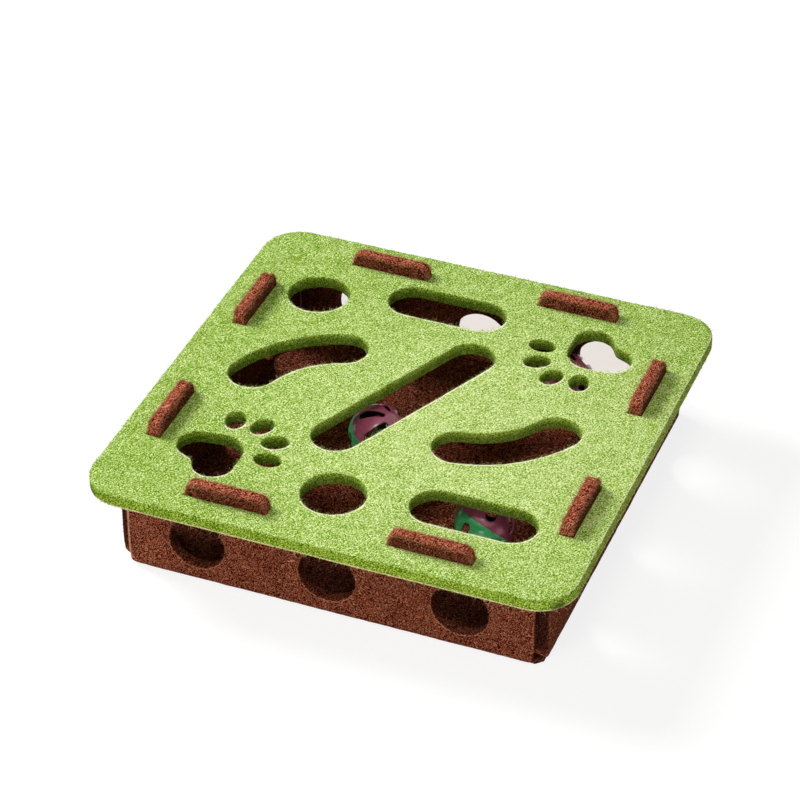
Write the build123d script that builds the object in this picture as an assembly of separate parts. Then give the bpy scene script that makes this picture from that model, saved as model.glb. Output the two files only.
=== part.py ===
from build123d import *
import math
import os

# Felt puzzle box for cats: a holed lid sheet over a folded base sheet, with bell balls loose inside.
# Frame: millimetres, +Z up, -Y front, origin on the ground under the middle of the lid.

# Felt sheets
LID_SIDE = 330.0
LID_CORNER_RADIUS = 27.0
LID_OVERHANG = 18.5
FELT = 9.0
WALL_HEIGHT = 59.5
FOLD_RADIUS = 4.0
CORNER_LAP = 1.8
CORNER_GAP = 1.0

# Tabs of the walls that stand up through the lid
TAB_LENGTH = 56.0
TAB_MARGIN = 42.3
TAB_PROUD = 9.0
TAB_CORNER_RADIUS = 6.5
TAB_CLEARANCE = 0.4

# Paw holes in each wall
WALL_HOLE_DIAMETER = 39.0
WALL_HOLE_MARGIN = 29.8
WALL_HOLE_HEIGHT = 30.2
WALL_HOLES = 3

# Openings of the lid, with their places as shares of the lid's side
ROUND_HOLE_DIAMETER = 43.0
ROUND_HOLE_SHARES = [(-0.317, 0.285), (-0.028, -0.336)]
SLOT_LENGTH = 85.0
SLOT_WIDTH = 34.5
SLOT_SHARES = [(-0.047, 0.334), (0.247, -0.302)]
DIAGONAL_LENGTH = 158.5
DIAGONAL_WIDTH = 33.3
DIAGONAL_ANGLE = 65.7
DIAGONAL_SHARE = (-0.0168, 0.0124)
CURVED_SLOT_WIDTH = 33.7
CURVED_SLOT_RADIUS = 75.5
CURVED_SLOT_SWEEP = 52.5
CURVED_SLOT_SHARES = [(-0.280, 0.064), (0.237, -0.070)]
CURVED_SLOT_FACINGS = [136.0, -55.0]

# Paw cut-outs: a pad of three joined rounds and four toes that fan out
PAW_SHARES = [(-0.2933, -0.2930), (0.2876, 0.2900)]
PAW_ANGLES = [49.0, 229.0]
PAD_TOP_RADIUS = 17.3
PAD_LOBE_RADIUS = 13.8
PAD_LOBE_BACK = 7.8
PAD_LOBE_SPREAD = 11.7
PAD_CLEFT_RADIUS = 6.0
TOE_LENGTH = 18.9
TOE_WIDTH = 13.9
TOE_INNER_REACH = 37.5
TOE_INNER_SPREAD = 9.9
TOE_INNER_TURN = 21.0
TOE_OUTER_REACH = 25.0
TOE_OUTER_SPREAD = 24.4
TOE_OUTER_TURN = 51.0

# Bell balls: two slotted half shells round a jingle bell, placed as shares of their free run inside
BALL_DIAMETER = 40.0
BALL_WALL = 1.6
BALL_LAP = 1.4
BALL_SLOTS = 6
BALL_SLOT_WIDE_RADIUS = 3.8
BALL_SLOT_NARROW_RADIUS = 2.1
BALL_SLOT_POLE_ANGLE = 18.0
BALL_SLOT_RIM_ANGLE = 77.0
BALL_LIFT = 0.3
BALL_NAMES = ["centre_ball", "front_ball", "back_ball"]
BALL_PLAY = 0.5
BALL_SHARES = [(-0.2265, 0.0723), (0.633, -0.491), (0.610, 0.956)]
BALL_POLE_SHARES = [(0.60, -0.07, 0.80), (0.36, 0.61, 0.71), (0.52, -0.20, 0.83)]
BALL_SPINS = [16.0, 29.5, 20.0]

# Jingle bell of two stamped cups with a loose pellet
BELL_DIAMETER = 13.0
BELL_WALL = 0.6
BELL_LAP = 0.8
BELL_BEAD = 0.5
BELL_BEAD_HEIGHT = 1.2
BELL_SLIT = 1.0
BELL_SLIT_ANGLE = 55.0
BELL_EYELET_RADIUS = 2.0
BELL_EYELET_HOLE_RADIUS = 1.2
BELL_EYELET_THICKNESS = 0.8
PELLET_DIAMETER = 4.0
LAP_CLEARANCE = 0.05
TRAP_CLEARANCE = 0.3

# One overrun serves every through cut
OVERRUN = 2.0

base_side = LID_SIDE - 2 * LID_OVERHANG
inner_side = base_side - 2 * FELT
wall_length = inner_side + 2 * CORNER_LAP
lid_top = WALL_HEIGHT + FELT
tab_line = (base_side - FELT) / 2
tab_pitch = wall_length - 2 * TAB_MARGIN - TAB_LENGTH
wall_hole_pitch = (wall_length - 2 * WALL_HOLE_MARGIN - WALL_HOLE_DIAMETER) / (WALL_HOLES - 1)
ball_radius = BALL_DIAMETER / 2
ball_bore = ball_radius - BALL_WALL
ball_run = inner_side / 2 - ball_radius - BALL_PLAY
bell_radius = BELL_DIAMETER / 2
bell_drop = ball_bore - TRAP_CLEARANCE - bell_radius


def lid_place(shares):
    """Location of an opening on the lid from its shares of the lid's side."""
    return Pos(LID_SIDE * shares[0], LID_SIDE * shares[1])


def paw():
    """Pad and toes of one paw, with the toes along +X."""
    top = Circle(PAD_TOP_RADIUS)
    pad = Sketch()
    for side in (-1, 1):
        lobe = Pos(-PAD_LOBE_BACK, side * PAD_LOBE_SPREAD) * Circle(PAD_LOBE_RADIUS)
        pad += make_hull(top.edges() + lobe.edges())
    cleft_x = -PAD_LOBE_BACK - math.sqrt(PAD_LOBE_RADIUS**2 - PAD_LOBE_SPREAD**2)
    cleft = min(pad.vertices(), key=lambda vertex: abs(Vector(vertex) - Vector(cleft_x, 0)))
    shape = fillet(cleft, PAD_CLEFT_RADIUS)
    for side in (-1, 1):
        inner = Rot(0, 0, side * TOE_INNER_TURN) * Ellipse(TOE_LENGTH / 2, TOE_WIDTH / 2)
        outer = Rot(0, 0, side * TOE_OUTER_TURN) * Ellipse(TOE_LENGTH / 2, TOE_WIDTH / 2)
        shape += Pos(TOE_INNER_REACH, side * TOE_INNER_SPREAD) * inner
        shape += Pos(TOE_OUTER_REACH, side * TOE_OUTER_SPREAD) * outer
    return shape


def curved_slot(facing):
    """Round-ended slot along an arc whose middle is at the origin and bulges towards facing."""
    start = facing - CURVED_SLOT_SWEEP / 2
    centre = Vector(-CURVED_SLOT_RADIUS, 0).rotate(Axis.Z, facing)
    return SlotArc(CenterArc(centre, CURVED_SLOT_RADIUS, start, CURVED_SLOT_SWEEP), CURVED_SLOT_WIDTH)


def tab_slots():
    """Slots of the lid, two along each side, that the wall tabs pass through."""
    slot = Rectangle(TAB_LENGTH + 2 * TAB_CLEARANCE, FELT + 2 * TAB_CLEARANCE)
    slots = Sketch()
    for quarter in range(4):
        for side in (-1, 1):
            slots += Rot(0, 0, 90 * quarter) * Pos(side * tab_pitch / 2, -tab_line) * slot
    return slots


def lid_panel():
    """Lid sheet with its play openings and tab slots."""
    sheet = RectangleRounded(LID_SIDE, LID_SIDE, LID_CORNER_RADIUS)
    for shares in ROUND_HOLE_SHARES:
        sheet -= lid_place(shares) * Circle(ROUND_HOLE_DIAMETER / 2)
    for shares in SLOT_SHARES:
        sheet -= lid_place(shares) * SlotOverall(SLOT_LENGTH, SLOT_WIDTH)
    diagonal = Rot(0, 0, DIAGONAL_ANGLE) * SlotOverall(DIAGONAL_LENGTH, DIAGONAL_WIDTH)
    sheet -= lid_place(DIAGONAL_SHARE) * diagonal
    for shares, facing in zip(CURVED_SLOT_SHARES, CURVED_SLOT_FACINGS):
        sheet -= lid_place(shares) * curved_slot(facing)
    for shares, angle in zip(PAW_SHARES, PAW_ANGLES):
        sheet -= lid_place(shares) * Rot(0, 0, angle) * paw()
    sheet -= tab_slots()
    return Pos(0, 0, WALL_HEIGHT) * extrude(sheet, FELT)


def fold_section(is_wall):
    """Section of one side of the crease: X outward from the inner wall face, Y up from the ground."""
    inner_corner = (0, FELT)
    half_turn = FOLD_RADIUS * math.sqrt(0.5)
    mitre = (FELT - FOLD_RADIUS + half_turn, FOLD_RADIUS - half_turn)
    fold_centre = (FELT - FOLD_RADIUS, FOLD_RADIUS)
    if is_wall:
        arc = CenterArc(fold_centre, FOLD_RADIUS, -45, 45)
        top = lid_top + TAB_PROUD
        rest = Polyline((FELT, FOLD_RADIUS), (FELT, top), (0, top), inner_corner, mitre)
    else:
        arc = CenterArc(fold_centre, FOLD_RADIUS, -90, 45)
        rest = Polyline(mitre, inner_corner, (0, 0), (FELT - FOLD_RADIUS, 0))
    return make_face(arc + rest)


def corner_mitre(gap):
    """Upright prism over the front wall, cut on the diagonal at both corners to clear its neighbours by a gap."""
    inner_half = inner_side / 2
    outer_half = base_side / 2
    near = [(gap - inner_half, -inner_half), (gap - outer_half, -outer_half)]
    far = [(-x, y) for x, y in reversed(near)]
    return extrude(make_face(Polyline(*near, *far, close=True)), lid_top + TAB_PROUD)


def fold_prism(is_wall):
    """The crease section run along the front wall's length, with its ends mitred to the corners."""
    section = Plane(origin=(wall_length / 2, -inner_side / 2, 0), x_dir=(0, -1, 0), z_dir=(-1, 0, 0))
    prism = extrude(section * fold_section(is_wall), wall_length)
    return prism & corner_mitre(CORNER_GAP if is_wall else 0)


def front_wall():
    """Wall flap with its two tabs and paw holes, mitred where it folds up from the floor."""
    outline = Rectangle(wall_length, WALL_HEIGHT, align=(Align.CENTER, Align.MIN))
    tab_rise = FELT + TAB_PROUD
    tab = Rectangle(TAB_LENGTH, tab_rise, align=(Align.CENTER, Align.MIN))
    tab = fillet(tab.vertices().group_by(Axis.Y)[-1], TAB_CORNER_RADIUS)
    for side in (-1, 1):
        outline += Pos(side * tab_pitch / 2, WALL_HEIGHT) * tab
    for hole in range(WALL_HOLES):
        offset = (hole - (WALL_HOLES - 1) / 2) * wall_hole_pitch
        outline -= Pos(offset, WALL_HOLE_HEIGHT) * Circle(WALL_HOLE_DIAMETER / 2)
    face = Plane(origin=(0, -inner_side / 2, 0), x_dir=(1, 0, 0), z_dir=(0, -1, 0))
    return extrude(face * outline, FELT) & fold_prism(True)


def floor_panel():
    """Floor of the base sheet, with a mitred edge under each wall."""
    floor = Box(inner_side, inner_side, FELT, align=(Align.CENTER, Align.CENTER, Align.MIN))
    for quarter in range(4):
        floor += Rot(0, 0, 90 * quarter) * fold_prism(False)
    return floor


def lapped_section(radius, wall, lap, has_lip):
    """Section, from the pole axis out, of a half shell that meets its other half in a lap within the wall."""
    bore = radius - wall
    lip_radius = bore + wall / 2 - LAP_CLEARANCE / 2
    rebate_radius = bore + wall / 2 + LAP_CLEARANCE / 2
    outer_arc = CenterArc((0, 0), radius, 0, 90)
    if has_lip:
        dip = math.degrees(math.asin(lap / bore))
        step_arc = CenterArc((0, 0), lip_radius, 0, -dip)
        inner_arc = CenterArc((0, 0), bore, -dip, 90 + dip)
    else:
        dip = math.degrees(math.asin((lap + LAP_CLEARANCE) / bore))
        step_arc = CenterArc((0, 0), rebate_radius, 0, dip)
        inner_arc = CenterArc((0, 0), bore, dip, 90 - dip)
    edges = outer_arc + Line(outer_arc @ 1, inner_arc @ 1) + inner_arc
    edges += Line(inner_arc @ 0, step_arc @ 1) + step_arc + Line(step_arc @ 0, outer_arc @ 0)
    return make_face(edges)


def turned_about_pole(section):
    """Solid of revolution about +Z from a section drawn with the pole axis upright."""
    return revolve(Plane.XZ * section, Axis.Z)


def shell_slot():
    """Cutter for one slot of a ball half: wide towards the seam and narrow towards the pole."""
    middle = (BALL_SLOT_POLE_ANGLE + BALL_SLOT_RIM_ANGLE) / 2
    half_span = ball_radius * math.sin(math.radians(BALL_SLOT_RIM_ANGLE - middle))
    wide = Pos(half_span - BALL_SLOT_WIDE_RADIUS, 0) * Circle(BALL_SLOT_WIDE_RADIUS)
    narrow = Pos(BALL_SLOT_NARROW_RADIUS - half_span, 0) * Circle(BALL_SLOT_NARROW_RADIUS)
    outline = make_hull(wide.edges() + narrow.edges())
    start = ball_radius / 2
    cutter = extrude(Pos(0, 0, start) * outline, ball_radius + OVERRUN - start)
    return Rot(0, middle, 0) * cutter


def ball_half(has_lip):
    """One plastic half of a ball, pole up."""
    half = turned_about_pole(lapped_section(ball_radius, BALL_WALL, BALL_LAP, has_lip))
    cutter = shell_slot()
    step = 360 / BALL_SLOTS
    return half - [Rot(0, 0, step * count) * cutter for count in range(BALL_SLOTS)]


def bell_cup_top():
    """Upper cup of the bell, with its crimped bead and a flat eyelet on the crown."""
    mid_wall = bell_radius - BELL_WALL / 2
    bead_align = (Align.MIN, Align.MIN)
    bead = Rectangle(BELL_BEAD + BELL_WALL / 4, BELL_BEAD_HEIGHT, align=bead_align)
    section = lapped_section(bell_radius, BELL_WALL, BELL_LAP, False)
    section += Pos(bell_radius - BELL_WALL / 4, 0) * bead
    ring = Circle(BELL_EYELET_RADIUS) - Circle(BELL_EYELET_HOLE_RADIUS)
    eyelet = extrude(Plane.XZ * ring, BELL_EYELET_THICKNESS / 2, both=True)
    eyelet = Pos(0, 0, mid_wall + BELL_EYELET_HOLE_RADIUS) * eyelet - Sphere(mid_wall)
    return turned_about_pole(section) + eyelet


def bell_cup_bottom():
    """Lower cup of the bell, with the crossed sound slits."""
    cup = turned_about_pole(lapped_section(bell_radius, BELL_WALL, BELL_LAP, True))
    reach = math.radians(BELL_SLIT_ANGLE)
    slit = Box(BELL_DIAMETER * math.sin(reach), BELL_SLIT, BELL_DIAMETER)
    below = Pos(0, 0, -bell_radius - bell_radius * math.cos(reach))
    return Rot(180, 0, 0) * cup - [below * slit, below * Rot(0, 0, 90) * slit]


def ball_parts(shares, pole, spin):
    """The five pieces of one ball: two halves turned to the pole, the bell under its centre, the pellet."""
    centre = Pos(ball_run * shares[0], ball_run * shares[1], FELT + BALL_LIFT + ball_radius)
    pole_frame = Plane(origin=(0, 0, 0), x_dir=Vector(0, 1, 0).cross(Vector(*pole)), z_dir=pole)
    turned = centre * pole_frame.location * Rot(0, 0, spin)
    half_pitch = 180 / BALL_SLOTS
    bell = centre * Pos(0, 0, -bell_drop)
    pellet_drop = bell_radius - BELL_WALL - TRAP_CLEARANCE - PELLET_DIAMETER / 2
    return {
        "mauve_half": turned * ball_half(True),
        "green_half": turned * Rot(0, 0, half_pitch) * Rot(180, 0, 0) * ball_half(False),
        "bell_top": bell * bell_cup_top(),
        "bell_bottom": bell * bell_cup_bottom(),
        "bell_pellet": bell * Pos(0, 0, -pellet_drop) * Sphere(PELLET_DIAMETER / 2),
    }


def all_parts():
    """Every piece under its node name."""
    wall = front_wall()
    parts = {"lid_panel": lid_panel(), "floor_panel": floor_panel()}
    for quarter, side in enumerate(["front", "right", "back", "left"]):
        parts[side + "_wall"] = Rot(0, 0, 90 * quarter) * wall
    for name, shares, pole, spin in zip(BALL_NAMES, BALL_SHARES, BALL_POLE_SHARES, BALL_SPINS):
        for piece, solid in ball_parts(shares, pole, spin).items():
            parts[name + "_" + piece] = solid
    return parts


os.makedirs("parts", exist_ok=True)
for node, solid in all_parts().items():
    export_step(solid, os.path.join("parts", node + ".step"))
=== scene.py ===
import math
import bpy
import numpy as np
from mathutils import Matrix, Vector, noise
from mathutils.geometry import delaunay_2d_cdt
from mathutils.kdtree import KDTree


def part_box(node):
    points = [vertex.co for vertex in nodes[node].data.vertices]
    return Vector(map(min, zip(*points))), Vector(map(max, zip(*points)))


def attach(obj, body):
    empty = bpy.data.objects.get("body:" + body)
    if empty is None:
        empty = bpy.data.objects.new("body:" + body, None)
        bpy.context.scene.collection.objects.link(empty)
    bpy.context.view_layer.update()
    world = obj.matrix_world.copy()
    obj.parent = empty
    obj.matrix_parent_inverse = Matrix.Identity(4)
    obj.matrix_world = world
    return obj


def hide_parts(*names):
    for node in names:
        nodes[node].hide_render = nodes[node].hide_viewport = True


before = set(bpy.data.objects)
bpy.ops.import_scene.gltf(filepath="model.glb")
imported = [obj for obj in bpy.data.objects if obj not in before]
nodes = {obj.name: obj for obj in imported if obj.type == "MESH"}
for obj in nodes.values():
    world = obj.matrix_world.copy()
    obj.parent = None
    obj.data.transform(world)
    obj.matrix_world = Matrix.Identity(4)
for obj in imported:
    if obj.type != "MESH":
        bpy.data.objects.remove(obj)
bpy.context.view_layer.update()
scene = bpy.context.scene

# Lengths are in millimetres, and become metres where a mesh or a texture is made.
MM = 0.001
TINY = 1e-12
rng = np.random.default_rng(7)

# The felt box and the balls, as in the CAD model
FELT = 9.0
LID_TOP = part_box("lid_panel")[1].z / MM
LID_UNDER = LID_TOP - FELT
WALL_INNER = -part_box("front_wall")[1].y / MM
WALL_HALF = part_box("front_wall")[1].x / MM
FOLD_RADIUS = 4.0
HOLE_HEIGHT = 30.2

BALL_NAMES = ["centre_ball", "front_ball", "back_ball"]
BALL_RADIUS = 20.0
BALL_WALL = 1.6
BALL_POLES = [(0.60, -0.07, 0.80), (0.36, 0.61, 0.71), (0.52, -0.20, 0.83)]
BALL_SPINS = [16.0, 29.5, 20.0]
BALL_SLOTS = 6
SLOT_WIDE = 3.8
SLOT_NARROW = 2.1
SLOT_POLE_ANGLE = 18.0
SLOT_RIM_ANGLE = 77.0

# Fineness of each mesh: steps along the edges, spacing over the faces and rows down the sides
LID_FINENESS = (1.6, 2.8, 4)
BASE_FINENESS = (1.8, 3.0, 3)
EAR_FINENESS = (1.2, 1.6, 1)
SHELL_FINENESS = (1.0, 1.9, 1)

# Sheets: every skin is a flat outline with holes, given a thickness and rounded edges and then placed.
CORNER_TURN = math.radians(30)
POINT_DIGITS = 3
ON_LEVEL = 0.01
BATCH = 1500
JITTER = 0.18
FACE_MARGIN = 0.55
MITRE_LIMIT = 0.5
ARC_ROWS = 3
SAME_POINT = 1e-7


def flat_loops(node, axis, level):
    """Outlines of a CAD node's flat face at one level of an axis, as loops of points."""
    mesh = nodes[node].data
    mesh.calc_loop_triangles()
    co = np.empty(len(mesh.vertices) * 3)
    mesh.vertices.foreach_get("co", co)
    co = co.reshape(-1, 3) / MM
    tri = np.empty(len(mesh.loop_triangles) * 3, int)
    mesh.loop_triangles.foreach_get("vertices", tri)
    points, same = np.unique(np.round(co, POINT_DIGITS), axis=0, return_inverse=True)
    tri = same.ravel()[tri].reshape(-1, 3)
    on_level = np.abs(points[:, axis] - level) < ON_LEVEL
    tri = tri[on_level[tri].all(1)]
    edges = {(a, b) for t in tri.tolist() for a, b in zip(t, t[1:] + t[:1]) if a != b}
    after = {a: b for a, b in edges if (b, a) not in edges}
    keep = [k for k in range(3) if k != axis]
    loops = []
    while after:
        start = min(after)
        chain = [start]
        step = after.pop(start)
        while step != start:
            chain.append(step)
            step = after.pop(step)
        loops.append(points[chain][:, keep])
    return loops


def signed_area(loop):
    x, y = loop[:, 0], loop[:, 1]
    return 0.5 * float(np.sum(x * np.roll(y, -1) - np.roll(x, -1) * y))


def turned(loops):
    """Loops with the material on the left: the outline first and anticlockwise, the holes clockwise."""
    loops = sorted(loops, key=lambda p: -abs(signed_area(p)))
    return [p if (signed_area(p) > 0) == (k == 0) else p[::-1] for k, p in enumerate(loops)]


def resample(loop, step):
    """Even points along a closed loop, with its corners kept."""
    before = loop - np.roll(loop, 1, 0)
    ahead = np.roll(loop, -1, 0) - loop
    cross = before[:, 0] * ahead[:, 1] - before[:, 1] * ahead[:, 0]
    turn = np.abs(np.arctan2(cross, np.sum(before * ahead, 1)))
    corners = np.flatnonzero(turn > CORNER_TURN)
    if len(corners) == 0:
        corners = np.array([0])
    out = []
    for k, first in enumerate(corners):
        last = corners[(k + 1) % len(corners)]
        count = (last - first) % len(loop) or len(loop)
        run = loop[(first + np.arange(count + 1)) % len(loop)]
        along = np.concatenate([[0], np.cumsum(np.linalg.norm(np.diff(run, axis=0), axis=1))])
        parts = max(1, round(along[-1] / step))
        at = np.linspace(0, along[-1], parts + 1)[:-1]
        out.append(np.stack([np.interp(at, along, run[:, 0]), np.interp(at, along, run[:, 1])], 1))
    return np.concatenate(out)


def unit(v):
    return v / np.maximum(np.linalg.norm(v, axis=-1, keepdims=True), TINY)


def inward(loop):
    """Mitred directions from a loop into the material on its left."""
    a = unit(loop - np.roll(loop, 1, 0))
    b = unit(np.roll(loop, -1, 0) - loop)
    na = np.stack([-a[:, 1], a[:, 0]], 1)
    nb = np.stack([-b[:, 1], b[:, 0]], 1)
    m = unit(na + nb)
    return m / np.maximum(np.sum(m * na, 1, keepdims=True), MITRE_LIMIT)


def inside(points, loops):
    """Even-odd test of points against loops."""
    a = np.concatenate(loops)
    b = np.concatenate([np.roll(p, -1, 0) for p in loops])
    rise = np.where(np.abs(b[:, 1] - a[:, 1]) < TINY, TINY, b[:, 1] - a[:, 1])
    slope = (b[:, 0] - a[:, 0]) / rise
    out = np.zeros(len(points), bool)
    for k in range(0, len(points), BATCH):
        p = points[k:k + BATCH]
        up = (a[None, :, 1] > p[:, None, 1]) != (b[None, :, 1] > p[:, None, 1])
        x = a[:, 0] + (p[:, None, 1] - a[:, 1]) * slope
        out[k:k + BATCH] = (np.sum(up & (x > p[:, None, 0]), 1) % 2) == 1
    return out


def fill_points(loops, spacing):
    """Jittered triangular grid inside the loops, kept clear of them, both by shares of its spacing."""
    lo = np.min(loops[0], 0)
    hi = np.max(loops[0], 0)
    rows = np.arange(lo[1], hi[1], spacing * math.sqrt(0.75))
    columns = np.arange(lo[0], hi[0], spacing)
    grid = np.array([(x + (k % 2) * spacing / 2, y) for k, y in enumerate(rows) for x in columns])
    grid = grid + rng.uniform(-JITTER, JITTER, (len(grid), 2)) * spacing
    grid = grid[inside(grid, loops)]
    near = np.concatenate(loops)
    tree = KDTree(len(near))
    for k, p in enumerate(near):
        tree.insert((p[0], p[1], 0), k)
    tree.balance()
    return np.array([p for p in grid if tree.find((p[0], p[1], 0))[2] > spacing * FACE_MARGIN])


def edge_profile(sides):
    """Rings round an edge from the upper face to the lower.

    Each is a share of the radius inward, a share of it down, and a share of the straight side."""
    quarter = [math.pi / 2 * k / ARC_ROWS for k in range(ARC_ROWS + 1)]
    upper = [(1 - math.sin(a), 1 - math.cos(a), 0.0) for a in quarter]
    straight = [(0.0, 1.0, k / sides) for k in range(1, sides)]
    lower = [(inset, 2 - down, 1.0) for inset, down, _ in reversed(upper)]
    return upper + straight + lower


def add_piece(name, points, faces, layers):
    """Smooth mesh object, with a layer of point values for each name in layers."""
    mesh = bpy.data.meshes.new(name)
    mesh.from_pydata((points * MM).tolist(), [], faces)
    mesh.polygons.foreach_set("use_smooth", np.ones(len(faces), bool))
    for layer, values in layers.items():
        data = mesh.attributes.new(layer, "FLOAT", "POINT").data
        data.foreach_set("value", values.astype(np.float32))
    mesh.update()
    piece = bpy.data.objects.new(name, mesh)
    scene.collection.objects.link(piece)
    return piece


def sheet(name, loops, thickness, radii, fineness, place, extra=None, skip=None,
          fluff_and_highlight=None, shaded=None, brow=1.0, sole=0.0):
    """Closed mesh of a sheet: two filled faces and a rounded edge round every loop, moved by place.

    Radii gives the edge's radius at each point of a loop. Extra adds points to the faces, and skip
    leaves some out. The point layers are cut (the side of the sheet), rim (how pale the fluffy
    edges are, partly as a painted highlight, by the function given for it, with brow the share where a
    face begins and sole the least share on the lower edge) and shaded (painted shade, by shaded)."""
    step, spacing, sides = fineness
    loops = [resample(p, step) for p in turned(loops)]
    normals = [inward(p) for p in loops]
    profile = edge_profile(sides)
    rings = len(profile)
    counts = [len(p) for p in loops]
    total = sum(counts)
    radius = [radii(p, k)[:, None] for k, p in enumerate(loops)]
    flat = np.concatenate(loops)
    into = np.concatenate(normals)
    rims = [p + r * n for p, r, n in zip(loops, radius, normals)]
    radius = np.concatenate(radius)

    # Faces: the rims and the points within them, triangulated
    inner = fill_points(rims, spacing)
    if skip is not None:
        inner = inner[~skip(inner)]
    if extra is not None:
        inner = np.concatenate([inner, extra[inside(extra, rims)]])
    seed = np.concatenate(rims + [inner])
    starts = np.concatenate([[0], np.cumsum(counts)])[:-1]
    following = np.concatenate([s + (np.arange(c) + 1) % c for s, c in zip(starts, counts)])
    ring_edges = [(int(a), int(b)) for a, b in zip(range(total), following)]
    made = delaunay_2d_cdt([Vector(p) for p in seed], ring_edges, [], 1, SAME_POINT)
    origin = [o[0] for o in made[3]]
    tris = np.array([[origin[i] for i in f] for f in made[2]])
    rim_only = (tris < total).all(1)
    good = ~rim_only
    good[rim_only] = inside(seed[tris].mean(1)[rim_only], rims)
    tris = tris[good]
    a, b, c = (seed[tris[:, k]] for k in range(3))
    flip = (b - a)[:, 0] * (c - a)[:, 1] - (b - a)[:, 1] * (c - a)[:, 0] < 0
    tris[flip] = tris[flip][:, ::-1]

    # Points: the rings from the upper face to the lower, then the upper and the lower face
    uvh = [np.column_stack([flat + inset * radius * into,
                            thickness - down * radius - straight * (thickness - 2 * radius)])
           for inset, down, straight in profile]
    uvh.append(np.column_stack([inner, np.full(len(inner), thickness)]))
    uvh.append(np.column_stack([inner, np.zeros(len(inner))]))
    uvh = np.concatenate(uvh)
    first_inner = rings * total
    on_top = np.where(tris < total, tris, tris - total + first_inner)
    below = np.where(tris < total, tris + first_inner - total, tris - total + first_inner + len(inner))
    here = np.arange(total)
    quads = []
    for k in range(rings - 1):
        up, down = k * total, (k + 1) * total
        quads.append(np.stack([up + here, down + here, down + following, up + following], 1))
    faces = np.concatenate(quads).tolist() + on_top.tolist() + below[:, ::-1].tolist()

    rim = np.zeros(len(uvh))
    cut = np.zeros(len(uvh))
    upper, lower = np.zeros((2, total))
    if fluff_and_highlight is not None:
        both = [fluff_and_highlight(p, unit(-n), k) for k, (p, n) in enumerate(zip(loops, normals))]
        upper, lower = np.concatenate(both).T
    for k, (inset, _, straight) in enumerate(profile):
        ring = slice(k * total, (k + 1) * total)
        cut[ring] = 1 - inset
        share = brow if inset == 1 else min(1, 2 * inset)
        rim[ring] = share * upper if straight < 1 else max(share, sole) * lower
    placed = place(uvh)
    dark = shaded(uvh, placed, cut) if shaded is not None else np.zeros(len(uvh))
    return add_piece(name, placed, faces, {"rim": rim, "cut": cut, "shaded": dark})


# Waver: soft noise in a felt surface, as pairs of size and height
LID_WAVER = [(26, 0.22), (5, 0.12), (2.2, 0.14)]
BASE_WAVER = [(30, 0.20), (5, 0.12), (2.2, 0.14)]
EAR_WAVER = [(5, 0.2), (2.2, 0.25)]
LID_SEED, BASE_SEED, EAR_SEED = 1, 2, 3
SEED_SHIFT = (7.3, 1.7)
LAYER_SHIFT = (3.1, 5.9)


def waver(piece, layers, seed):
    """Pushes a felt piece's surface in and out."""
    mesh = piece.data
    count = len(mesh.vertices)
    co = np.empty(count * 3)
    mesh.vertices.foreach_get("co", co)
    co = co.reshape(-1, 3)
    normal = np.empty(count * 3)
    mesh.vertex_normals.foreach_get("vector", normal)
    normal = normal.reshape(-1, 3)
    push = np.zeros(count)
    for k, (size, height) in enumerate(layers):
        shift = Vector((seed * SEED_SHIFT[0] + k * LAYER_SHIFT[0], seed * SEED_SHIFT[1], k * LAYER_SHIFT[1]))
        scale = 1 / (size * MM)
        push += [height * MM * noise.noise(Vector(p) * scale + shift) for p in co]
    co += normal * push[:, None]
    mesh.vertices.foreach_set("co", co.ravel())
    mesh.update()


# The base's flat pattern and its folds
BEND = 8.0
BEND_ROWS = 9
BEND_MARGIN = 1.0
TAPER = 2.5
CORNER_GAP = 0.5


def lid_place(uvh):
    return uvh + [0, 0, LID_UNDER]


def fold_stretch(angle):
    """How much further out than the felt's thickness the fold's outside is, round the crease."""
    s, c = np.sin(angle), np.cos(angle)
    mid = FELT - FOLD_RADIUS
    along = mid * (s + c)
    arc = along + np.sqrt(np.maximum(along**2 - 2 * mid**2 + FOLD_RADIUS**2, 0))
    flat_side = FELT / np.maximum(s, c)
    reach = flat_side * np.minimum(s, c)
    return np.where(reach <= mid, flat_side, arc) / FELT


def base_place(uvh):
    """Folds the four flaps of the flat base sheet up round their creases."""
    u, v, h = uvh.T
    out = uvh.copy()
    for axis, run, other in ((0, u, v), (1, v, u)):
        past = np.abs(run) - WALL_INNER
        flap = (past > 0) & (np.abs(run) > np.abs(other))
        angle = np.clip(past / BEND, 0, 1) * math.pi / 2
        reach = (FELT - h) * fold_stretch(angle)
        outward = reach * np.sin(angle)
        up = FELT - reach * np.cos(angle) + np.maximum(past - BEND, 0)
        out[:, axis] = np.where(flap, np.sign(run) * (WALL_INNER + outward), out[:, axis])
        out[:, 2] = np.where(flap, up, out[:, 2])
        across = out[:, 1 - axis]
        limit = WALL_INNER + outward - CORNER_GAP
        out[:, 1 - axis] = np.where(flap, np.clip(across, -limit, limit), across)
    return out


def quarter_turn(points, quarter):
    c, s = [(1, 0), (0, 1), (-1, 0), (0, -1)][quarter]
    return points @ np.array([[c, s], [-s, c]])


def wall_to_flat(points):
    """Points of the front wall's outer face, laid out in the flat pattern."""
    return np.column_stack([points[:, 0], -(WALL_INNER + BEND + points[:, 1] - FELT)])


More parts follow.
